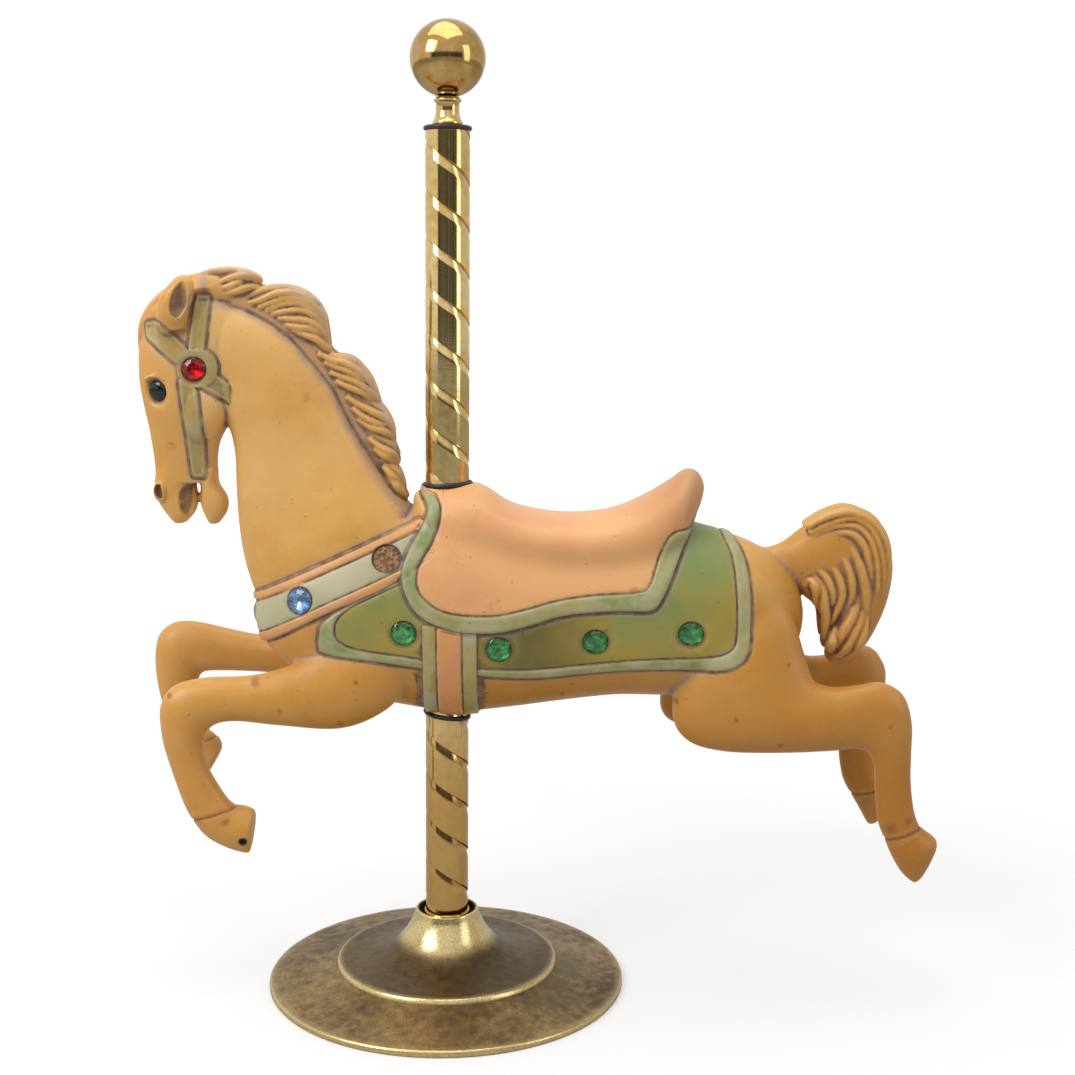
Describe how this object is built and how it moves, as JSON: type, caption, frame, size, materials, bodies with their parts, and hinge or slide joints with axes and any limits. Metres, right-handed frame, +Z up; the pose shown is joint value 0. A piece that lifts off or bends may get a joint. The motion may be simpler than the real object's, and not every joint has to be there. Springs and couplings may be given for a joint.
{
  "type": "carousel horse",
  "caption": "Leaping carousel horse with carved mane, saddle and jewelled trappings on a twisted brass pole, with a ball finial and a round flared stand.",
  "frame": {"origin": "centre of the stand's flat underside, on the pole's axis", "axes": "+Z up along the pole, -X towards the horse's head, -Y out of the horse's left side"},
  "size_m": [0.582, 0.2656, 0.7022],
  "materials": {
    "horse_paint": "painted casting, tan with green, sage and orange trappings under an antique glaze, satin",
    "pole_brass": "polished",
    "stand_brass": "antique, mottled",
    "ball_brass": "lightly brushed",
    "black_gasket": "satin",
    "brown_gasket": "satin",
    "green_stone": "foil-backed faceted dome",
    "blue_stone": "foil-backed faceted dome",
    "red_stone": "foil-backed faceted dome",
    "eye_glass": "glossy black dome"
  },
  "bodies": {
    "root": {"horse": "horse_paint", "pole": "pole_brass", "stand": "stand_brass", "finial_ball": "ball_brass", "finial_neck": "pole_brass", "finial_gasket": "brown_gasket", "pole_foot_ring": "pole_brass", "saddle_gasket": "black_gasket", "belly_gasket": "black_gasket", "green_jewel_left_1": "green_stone", "green_jewel_left_2": "green_stone", "green_jewel_left_3": "green_stone", "green_jewel_left_4": "green_stone", "green_jewel_right_1": "green_stone", "green_jewel_right_2": "green_stone", "green_jewel_right_3": "green_stone", "green_jewel_right_4": "green_stone", "blue_jewel_left": "blue_stone", "blue_jewel_right": "blue_stone", "blue_jewel_right_upper": "blue_stone", "blue_jewel_front": "blue_stone", "red_jewel_left": "red_stone", "red_jewel_right": "red_stone", "eye_left": "eye_glass", "eye_right": "eye_glass"}
  },
  "joints": []
}
